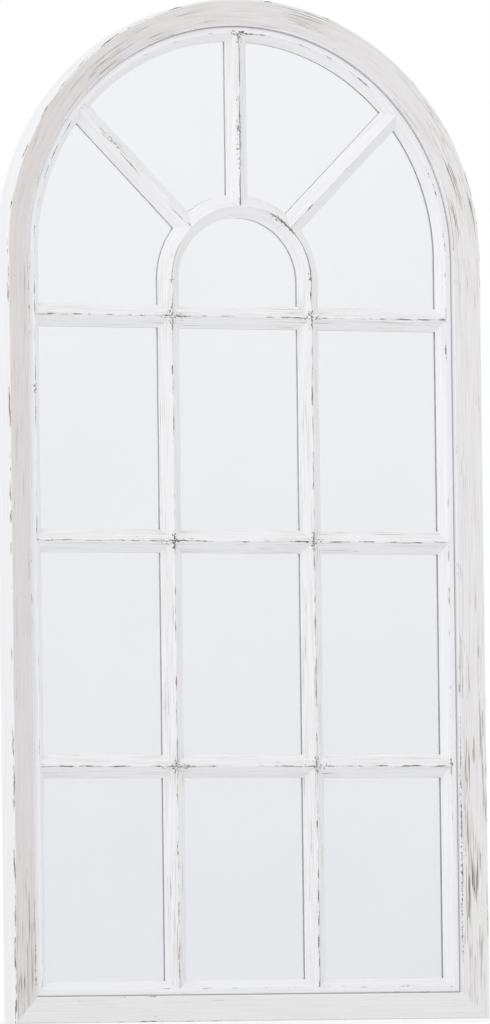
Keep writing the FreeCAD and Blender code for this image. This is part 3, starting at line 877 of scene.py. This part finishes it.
def softened(node: bpy.types.Object, width: float) -> bpy.types.Object:
    """Model a stamped or cut piece again, with the small rounds of its real edges.

    Args:
        node: node whose shape is followed.
        width: width of the rounded edge, mm.

    Returns:
        The new piece.
    """
    piece = healed(node, 1.0)
    bevel = piece.modifiers.new("edge", "BEVEL")
    bevel.width = width * MM
    bevel.segments = 3
    bevel.limit_method = "ANGLE"
    bevel.angle_limit = math.radians(50)
    return piece


# ---- glass and back ----
@dataclass
class MirrorSheet:
    """Glass, its silver film and the board behind them."""

    glass: FloatGlass
    film: Silvering
    board: Fibreboard
    air_gap: float = 0.03       # glass to film, mm

    def pane(self, sheet: bpy.types.Object) -> bpy.types.Object:
        """Model the glass a hair thinner than its sheet.

        Glass shares no face with the film or the bars, because light would stop in the glass there.

        Args:
            sheet: the node of the glass.

        Returns:
            The pane.
        """
        pane = healed(sheet, 0.2, quads=True)
        pane.name = "float_glass_pane"
        middle = sum(corner[1] for corner in pane.bound_box) / len(pane.bound_box)
        for vertex in pane.data.vertices:
            inward = 1 if vertex.co.y < middle else -1
            vertex.co.y += inward * self.air_gap * MM
        return pane

    def build(self, nodes: dict) -> None:
        """Dress the three sheets."""
        pane = self.pane(nodes["mirror_glass"])
        dress(pane, self.glass.material())
        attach(pane, "mirror")
        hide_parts("mirror_glass")
        dress(nodes["mirror_silvering"], self.film.material())
        dress(nodes["back_board"], self.board.material())
        log.info("glass, film and board dressed")


# ---- hardware ----
@dataclass(frozen=True)
class PanScrew:
    """Pan-head wood screw with a cross recess, its head behind the seat and its point at -Y."""

    rings: tuple[tuple[float, float], ...] = (
        (1.5, 1.78), (2.3, 1.6), (2.85, 1.25), (3.12, 0.8), (3.2, 0.35), (3.1, 0.0), (1.6, 0.0),
        (1.6, -12.6), (0.9, -13.5), (0.15, -14.0))     # radius, place behind the seat, mm
    sides: int = 32
    slot: Point = (3.6, 1.5, 0.75)                     # long, deep and wide, mm
    crown: float = 1.8

    def model(self) -> bpy.types.Object:
        """Model one screw at the origin."""
        deselect()
        first_radius, first_y = self.rings[0]
        bpy.ops.mesh.primitive_circle_add(vertices=self.sides, radius=first_radius * MM,
                                          fill_type="NGON", location=(0, first_y * MM, 0),
                                          rotation=(math.pi / 2, 0, 0))
        bpy.ops.object.transform_apply(location=True, rotation=True, scale=True)
        screw = bpy.context.object
        bpy.ops.object.mode_set(mode="EDIT")
        bpy.ops.mesh.select_all(action="SELECT")
        for (radius, y), (next_radius, next_y) in zip(self.rings, self.rings[1:]):
            bpy.ops.mesh.extrude_region_move(
                TRANSFORM_OT_translate={"value": (0, (next_y - y) * MM, 0)})
            grow = next_radius / radius
            bpy.ops.transform.resize(value=(grow, 1, grow))
        bpy.ops.mesh.select_all(action="SELECT")
        bpy.ops.mesh.normals_make_consistent(inside=False)
        bpy.ops.object.mode_set(mode="OBJECT")
        long, deep, wide = self.slot
        for size in ((long, deep, wide), (wide, deep, long)):
            deselect()
            bpy.ops.mesh.primitive_cube_add(size=MM, location=(0, self.crown * MM, 0), scale=size)
            cutter = bpy.context.object
            cut = screw.modifiers.new("recess", "BOOLEAN")
            cut.operation = "DIFFERENCE"
            cut.solver = "EXACT"
            cut.object = cutter
            deselect()
            bpy.context.view_layer.objects.active = screw
            screw.select_set(True)
            bpy.ops.object.modifier_apply(modifier=cut.name)
            deselect()
            cutter.select_set(True)
            bpy.ops.object.delete()
        return finish_mesh(screw, "pan_screw")

    def row(self, name: str, seats: list[Point]) -> bpy.types.Object:
        """Set screws, each driven home at its own turn.

        Args:
            name: name of the piece.
            seats: places of the seats of their heads, mm.

        Returns:
            The screws as one piece.
        """
        pattern = self.model()
        screws = []
        for index, seat in enumerate(seats):
            screw = copied(pattern)
            screw.location = Vector(seat) * MM
            screw.rotation_euler = (0, 0.9 + 2.4 * index, 0)
            screws.append(screw)
        deselect()
        pattern.select_set(True)
        bpy.ops.object.delete()
        return finish_mesh(joined(screws), name)


@dataclass(frozen=True)
class WireRing:
    """D-shaped ring of round wire that hangs from the bar in its eye."""

    wire: float = 1.05          # radius, mm
    half_width: float = 11.0
    bend: float = 2.4
    side: float = 4.0           # axis to the centre of the round end
    sides: int = 20
    bend_steps: int = 8
    end_steps: int = 36

    def model(self, name: str, axis: Point) -> bpy.types.Object:
        """Run a circle of wire round the ring.

        Args:
            name: name of the piece.
            axis: middle of the bar, mm.

        Returns:
            The ring.
        """
        deselect()
        bpy.ops.mesh.primitive_circle_add(vertices=self.sides, radius=self.wire * MM,
                                          rotation=(0, math.pi / 2, 0))
        bpy.ops.object.transform_apply(location=True, rotation=True, scale=True)
        ring = bpy.context.object
        bpy.ops.object.mode_set(mode="EDIT")
        bpy.ops.mesh.select_all(action="SELECT")
        straight = self.half_width - self.bend
        drop = self.side - self.bend
        turns = (((straight, 0), (straight, -self.bend), 90, self.bend_steps),
                 ((0, -drop), (0, -self.side), 180, self.end_steps),
                 ((0, drop), (-straight, -self.bend), 90, self.bend_steps))
        for (step_x, step_z), (centre_x, centre_z), sweep, steps in turns:
            bpy.ops.mesh.extrude_region_move(
                TRANSFORM_OT_translate={"value": (step_x * MM, 0, step_z * MM)})
            bpy.ops.mesh.spin(steps=steps, angle=math.radians(-sweep),
                              center=(centre_x * MM, 0, centre_z * MM), axis=(0, 1, 0))
        bpy.ops.mesh.extrude_region_move(
            TRANSFORM_OT_translate={"value": (straight * MM, 0, 0)})
        bpy.ops.mesh.select_all(action="SELECT")
        bpy.ops.mesh.remove_doubles(threshold=WELD * MM)
        bpy.ops.mesh.normals_make_consistent(inside=False)
        bpy.ops.object.mode_set(mode="OBJECT")
        ring.location = Vector(axis) * MM
        return finish_mesh(ring, name)


@dataclass
class Hardware:
    """Clips, plates, rings, screws and pads on the back. Sizes are in mm."""

    steel: ZincPlatedSteel
    felt: PressedFelt
    back: float = 21.056            # back of the wood, mm
    clip_steel: float = 1.2
    plate_steel: float = 1.0
    clip_screw: float = 29.5        # from the outer edge of the frame
    hanger: Point = (302.0, 23.456, 905.0)
    hanger_screws: tuple[float, ...] = (23.0, 38.0)
    pad: Point = (302.0, 21.056, 62.0)
    pad_width: float = 16.0
    pad_thickness: float = 5.0
    stile_clips: tuple[float, ...] = (170.0, 480.0, 790.0)
    rail_clips: tuple[float, ...] = (-150.0, 150.0)
    head_clips: tuple[float, ...] = (22.5, 67.5, 112.5, 157.5)      # degrees
    clip_edge: float = 0.35         # rounds of the stamped edges
    plate_edge: float = 0.22
    pad_edge: float = 0.9           # crushed cut edge of the felt

    def clip_seats(self) -> list[Point]:
        """Give the seats of the clips' screw heads, mm."""
        y = self.back + self.clip_steel
        reach = LAYOUT.half_width - self.clip_screw
        seats = [(side * reach, y, height) for height in self.stile_clips for side in (-1, 1)]
        seats += [(x, y, self.clip_screw) for x in self.rail_clips]
        for angle in self.head_clips:
            turn = math.radians(angle)
            seats.append((-reach * math.cos(turn), y, LAYOUT.springing + reach * math.sin(turn)))
        return seats

    def felt_pad(self, side: Side) -> bpy.types.Object:
        """Model one felt pad, its cut edges a little crushed."""
        deselect()
        x, y, z = self.pad
        middle = Vector((side.value * x, y + self.pad_thickness / 2, z)) * MM
        bpy.ops.mesh.primitive_cube_add(
            size=MM, location=middle, scale=(self.pad_width, self.pad_thickness, self.pad_width))
        pad = bpy.context.object
        bpy.ops.object.transform_apply(location=False, rotation=False, scale=True)
        bevel = pad.modifiers.new("edge", "BEVEL")
        bevel.width = self.pad_edge * MM
        bevel.segments = 4
        return finish_mesh(pad, f"felt_pad_{side.word}")

    def place(self, piece: bpy.types.Object, body: str, node: str, slot: str,
              material: bpy.types.Material) -> None:
        """Dress a new piece and put it in the frame.

        Args:
            piece: new piece.
            body: body it moves with.
            node: node it stands for.
            slot: material slot of that node; not used.
            material: its finish.
        """
        dress(piece, material)
        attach(piece, body)
        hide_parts(node)

    def build(self, nodes: dict) -> None:
        """Model the hardware."""
        plate = self.steel.material()
        felt = self.felt.material()
        screw = PanScrew()
        slot = "zinc_plated_steel"
        clips = finish_mesh(softened(nodes["back_clips"], self.clip_edge), "cranked_clips")
        self.place(clips, "mirror", "back_clips", slot, plate)
        self.place(screw.row("clip_pan_screws", self.clip_seats()), "mirror", "clip_screws", slot,
                   plate)
        for side in Side:
            word = side.word
            x, eye, height = self.hanger
            strap = softened(nodes[f"hanger_plate_{word}"], self.plate_edge)
            strap = finish_mesh(strap, f"strap_{word}")
            self.place(strap, "mirror", f"hanger_plate_{word}", slot, plate)
            ring = WireRing().model(f"wire_ring_{word}", (side.value * x, eye, height))
            self.place(ring, f"ring_{word}", f"hanger_ring_{word}", slot, plate)
            seats = [(side.value * x, self.back + self.plate_steel, height - drop)
                     for drop in self.hanger_screws]
            self.place(screw.row(f"hanger_pan_screws_{word}", seats), "mirror",
                       f"hanger_screws_{word}", slot, plate)
            self.place(self.felt_pad(side), "mirror", f"wall_bumper_{word}", "felt", felt)
        log.info("hardware modelled")


# ---- stage ----
@dataclass
class Studio:
    """White floor and surround, soft light from the upper left, and the photograph's camera."""

    floor_colour: str = "#F4F4F4"
    floor_size: float = 14.0
    surround_light: float = 0.94
    key_power: float = 50.0
    key_size: float = 3.0
    key_place: Point = (-4.6, -3.4, 3.6)
    aim: Point = (0.0, 0.0, 0.65)
    camera_yaw: float = 22.448          # degrees to the left of square-on
    camera_pitch: float = 2.839         # looking up
    camera_roll: float = -0.684
    camera_place: Point = (-4949.8, -11992.5, 3.5)
    focal_length: float = 358.81        # on 36 mm over the picture's height
    sensor: float = 36.0
    bounces: int = 12

    def floor(self) -> None:
        """Lay the floor under the mirror."""
        deselect()
        bpy.ops.mesh.primitive_plane_add(size=self.floor_size)
        floor = bpy.context.object
        floor.name = "studio_floor"
        material, tree = new_material("white_studio_floor")
        surface(tree, {"Base Color": linear(self.floor_colour), "Roughness": 0.9,
                       "Specular IOR Level": 0.1})
        dress(floor, material)

    def light(self) -> None:
        """Light the mirror by one soft lamp and an even surround, which it mirrors as white."""
        world = bpy.data.worlds.new("white_surround")
        bpy.context.scene.world = world
        world.use_nodes = True
        tree = world.node_tree
        tree.nodes.clear()
        path = add(tree, "LightPath", out="Is Camera Ray").node.outputs
        seen = reckon(tree, "MAXIMUM", path["Is Camera Ray"], path["Is Glossy Ray"])
        seen = reckon(tree, "MAXIMUM", seen, path["Is Transmission Ray"])
        strength = span(tree, seen, 0.0, 1.0, self.surround_light)
        glow = add(tree, "Background", {"Color": (1, 1, 1, 1), "Strength": strength})
        add(tree, "OutputWorld", {"Surface": glow})
        lamp = bpy.data.lights.new("soft_key", "AREA")
        lamp.energy = self.key_power
        lamp.size = self.key_size
        holder = bpy.data.objects.new("soft_key", lamp)
        bpy.context.scene.collection.objects.link(holder)
        holder.location = self.key_place
        aim = Vector(self.aim) - holder.location
        holder.rotation_euler = aim.to_track_quat("-Z", "Y").to_euler()

    def camera(self) -> None:
        """Set the camera that was fitted to the photograph."""
        yaw = math.radians(self.camera_yaw)
        pitch = math.radians(self.camera_pitch)
        roll = math.radians(self.camera_roll)
        forward = Vector((math.sin(yaw) * math.cos(pitch), math.cos(yaw) * math.cos(pitch),
                          math.sin(pitch)))
        level_right = Vector((math.cos(yaw), -math.sin(yaw), 0))
        level_up = level_right.cross(forward)
        right = level_right * math.cos(roll) + level_up * math.sin(roll)
        up = level_up * math.cos(roll) - level_right * math.sin(roll)
        turn = Matrix((right, up, -forward)).transposed()
        lens = bpy.data.cameras.new("photograph_view")
        lens.sensor_fit = "VERTICAL"
        lens.sensor_height = self.sensor
        lens.lens = self.focal_length
        lens.clip_end = 100.0
        holder = bpy.data.objects.new("photograph_view", lens)
        bpy.context.scene.collection.objects.link(holder)
        holder.matrix_world = Matrix.Translation(Vector(self.camera_place) * MM) @ turn.to_4x4()
        bpy.context.scene.camera = holder

    def build(self) -> None:
        """Set up floor, light and camera."""
        self.floor()
        self.light()
        self.camera()
        cycles = bpy.context.scene.cycles
        cycles.blur_glossy = 0.0    # the feet of the bars are lit through the glass
        cycles.diffuse_bounces = cycles.glossy_bounces = self.bounces
        cycles.max_bounces = cycles.transmission_bounces = 2 * self.bounces
        bpy.context.scene.view_settings.view_transform = "Standard"
        log.info("stage set")


def main() -> None:
    """Load the frame, dress and model every piece, and set the stage."""
    logging.basicConfig(level=logging.INFO, format="%(name)s: %(message)s")
    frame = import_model()
    nodes = frame["nodes"]
    paint = RubbedChalkPaint()
    for assembly in (OuterFrame(paint), Sash(paint), GlazingBars(paint),
                     MirrorSheet(FloatGlass(), Silvering(), Fibreboard()),
                     Hardware(ZincPlatedSteel(), PressedFelt())):
        assembly.build(nodes)
    Studio().build()


if __name__ == "__main__":
    main()
